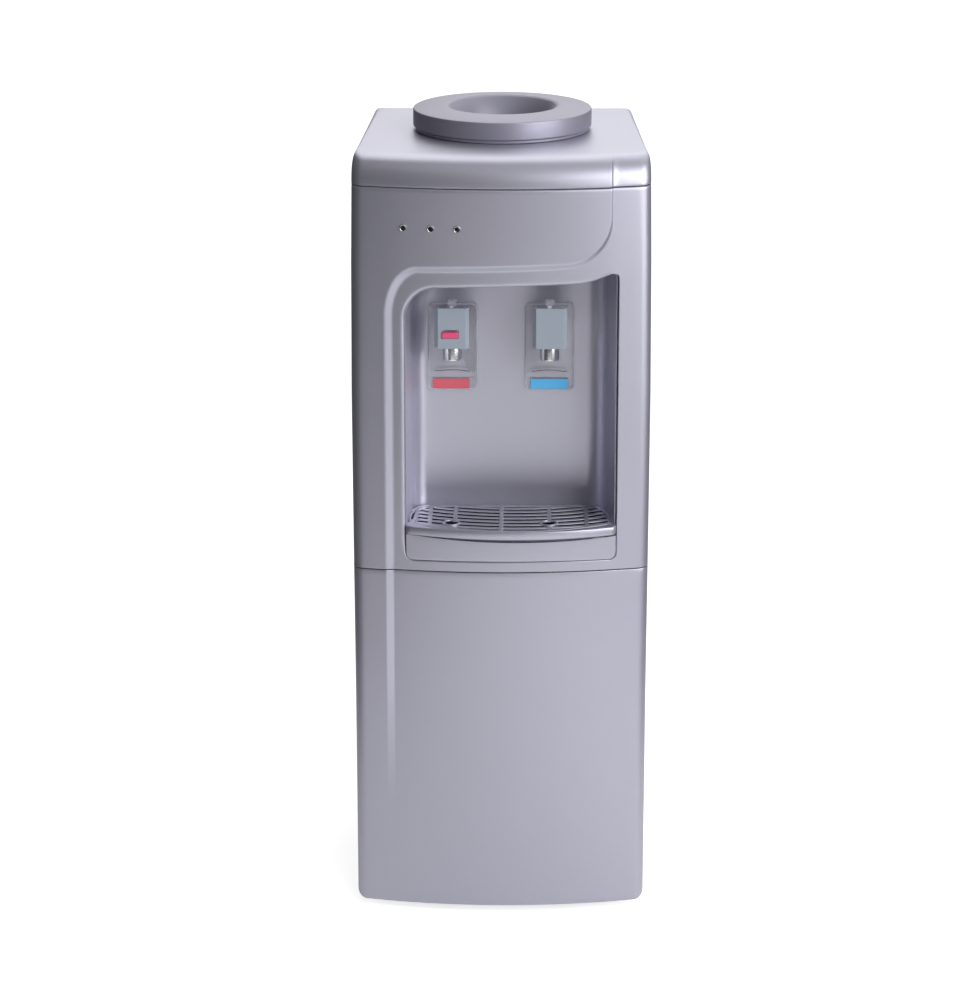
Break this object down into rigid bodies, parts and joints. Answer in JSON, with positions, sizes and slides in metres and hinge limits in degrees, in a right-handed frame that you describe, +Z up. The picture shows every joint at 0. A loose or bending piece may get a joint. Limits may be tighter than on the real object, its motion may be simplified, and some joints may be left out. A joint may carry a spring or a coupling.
{
  "type": "top-loading water dispenser",
  "caption": "Free-standing top-loading water dispenser with bottle seat, hot and cold push taps in a recess, drip tray and rear condenser.",
  "frame": {"origin": "on the floor, under the middle of the whole body's box", "axes": "+Z up; the front with its taps faces -Y; +X to the right as seen from the front"},
  "size_m": [0.31, 0.352, 0.8573],
  "materials": {
    "silver_shell": "silver-lilac moulded shell, satin to gloss",
    "recess_grey": "grey moulded recess, satin",
    "seat_slate": "slate grey moulding, gloss",
    "painted_sheet": "silver painted sheet steel",
    "galvanised": "galvanised sheet",
    "tray_silver": "silver moulded tray, satin",
    "grille_grey": "metallic grey moulded grille",
    "paddle_grey": "blue-grey moulding, satin",
    "button_red": "red moulded button",
    "label_red": "printed red strip",
    "label_blue": "printed blue strip",
    "clear_plastic": "clear moulded plastic",
    "chrome": "polished chrome",
    "white_plastic": "white food-grade plastic",
    "stainless": "stainless steel",
    "foam": "white expanded foam",
    "rubber_black": "black rubber",
    "silicone": "translucent silicone",
    "black_paint": "black painted steel",
    "copper": "copper tube",
    "black_plastic": "black moulded plastic",
    "switch_red": "red rocker",
    "switch_green": "green rocker",
    "lamp": "dark lamp lens",
    "board": "printed circuit board"
  },
  "bodies": {
    "root": {"lower_front_panel": "silver_shell", "front_upper_panel": "silver_shell", "top_cover": "silver_shell", "tap_niche": "recess_grey", "left_side_panel": "painted_sheet", "right_side_panel": "painted_sheet", "base_pan": "galvanised", "feet": "rubber_black", "back_panel": "painted_sheet", "tank_shelf": "galvanised", "mid_shelf": "galvanised", "cold_tank": "stainless", "cold_tank_insulation": "foam", "evaporator_coil": "copper", "tank_baffle": "white_plastic", "seat_gasket": "silicone", "hot_tank": "stainless", "hot_tank_insulation": "foam", "band_heater": "stainless", "thermostats": "black_plastic", "tap_bodies": "white_plastic", "tap_bonnets": "white_plastic", "pivot_pins": "stainless", "hot_tap_spring": "stainless", "cold_tap_spring": "stainless", "spouts": "chrome", "tap_nuts": "white_plastic", "escutcheons": "clear_plastic", "hot_label": "label_red", "cold_label": "label_blue", "tap_hoses": "silicone", "feed_hose": "silicone", "drain_hose": "silicone", "hose_clamps": "stainless", "compressor": "black_paint", "compressor_grommets": "rubber_black", "compressor_bolts": "stainless", "terminal_cover": "black_plastic", "condenser": "black_paint", "condenser_brackets": "black_paint", "filter_drier": "copper", "refrigerant_pipes": "copper", "switch_bezels": "black_plastic", "cord_gland": "black_plastic", "drain_fitting": "white_plastic", "indicator_lamps": "lamp", "lamp_board": "board", "back_panel_screws": "stainless"},
    "hot_paddle": {"hot_paddle": "paddle_grey"},
    "cold_paddle": {"cold_paddle": "paddle_grey"},
    "hot_valve_stem": {"hot_valve_stem": "white_plastic"},
    "cold_valve_stem": {"cold_valve_stem": "white_plastic"},
    "lock_button": {"lock_button": "button_red"},
    "drip_tray": {"drip_tray": "tray_silver"},
    "drip_grille": {"drip_grille": "grille_grey"},
    "bottle_seat": {"bottle_seat": "seat_slate", "bottle_probe": "white_plastic"},
    "hot_switch": {"hot_switch_rocker": "switch_red"},
    "cold_switch": {"cold_switch_rocker": "switch_green"},
    "drain_cap": {"drain_cap": "white_plastic"}
  },
  "joints": [
    {"name": "hot_paddle_press", "type": "hinge", "parent": "root", "child": "hot_paddle", "pos_m": [-0.0519, -0.109, 0.6634], "axis": [1, 0, 0], "range_deg": [0, 12], "stiffness_Nm_per_rad": 0.6, "springref_deg": -20.05},
    {"name": "hot_stem_lift", "type": "slide", "parent": "root", "child": "hot_valve_stem", "axis": [0, 0, 1], "range_m": [0, 0.0024], "deforming": ["hot_tap_spring"]},
    {"name": "cold_paddle_press", "type": "hinge", "parent": "root", "child": "cold_paddle", "pos_m": [0.0511, -0.109, 0.6634], "axis": [1, 0, 0], "range_deg": [0, 12], "stiffness_Nm_per_rad": 0.6, "springref_deg": -20.05},
    {"name": "cold_stem_lift", "type": "slide", "parent": "root", "child": "cold_valve_stem", "axis": [0, 0, 1], "range_m": [0, 0.0024], "deforming": ["cold_tap_spring"]},
    {"name": "lock_button_slide", "type": "slide", "parent": "hot_paddle", "child": "lock_button", "axis": [0, 0, 1], "range_m": [0, 0.0024], "stiffness_N_per_m": 200, "springref_m": -0.003},
    {"name": "drip_tray_slide", "type": "slide", "parent": "root", "child": "drip_tray", "axis": [0, -1, 0], "range_m": [0, 0.11]},
    {"name": "drip_grille_lift", "type": "slide", "parent": "drip_tray", "child": "drip_grille", "axis": [0, 0, 1], "range_m": [0, 0.05]},
    {"name": "bottle_seat_lift", "type": "slide", "parent": "root", "child": "bottle_seat", "axis": [0, 0, 1], "range_m": [0, 0.12]},
    {"name": "hot_switch_rock", "type": "hinge", "parent": "root", "child": "hot_switch", "pos_m": [-0.104, 0.1468, 0.706], "axis": [1, 0, 0], "range_deg": [0, 14]},
    {"name": "cold_switch_rock", "type": "hinge", "parent": "root", "child": "cold_switch", "pos_m": [-0.076, 0.1468, 0.706], "axis": [1, 0, 0], "range_deg": [0, 14]},
    {"name": "drain_cap_off", "type": "slide", "parent": "root", "child": "drain_cap", "axis": [0, 1, 0], "range_m": [0, 0.02]}
  ],
  "couplings": [
    {"joint": "hot_stem_lift", "follows": "hot_paddle_press", "m_per_rad": 0.011},
    {"joint": "cold_stem_lift", "follows": "cold_paddle_press", "m_per_rad": 0.011}
  ]
}
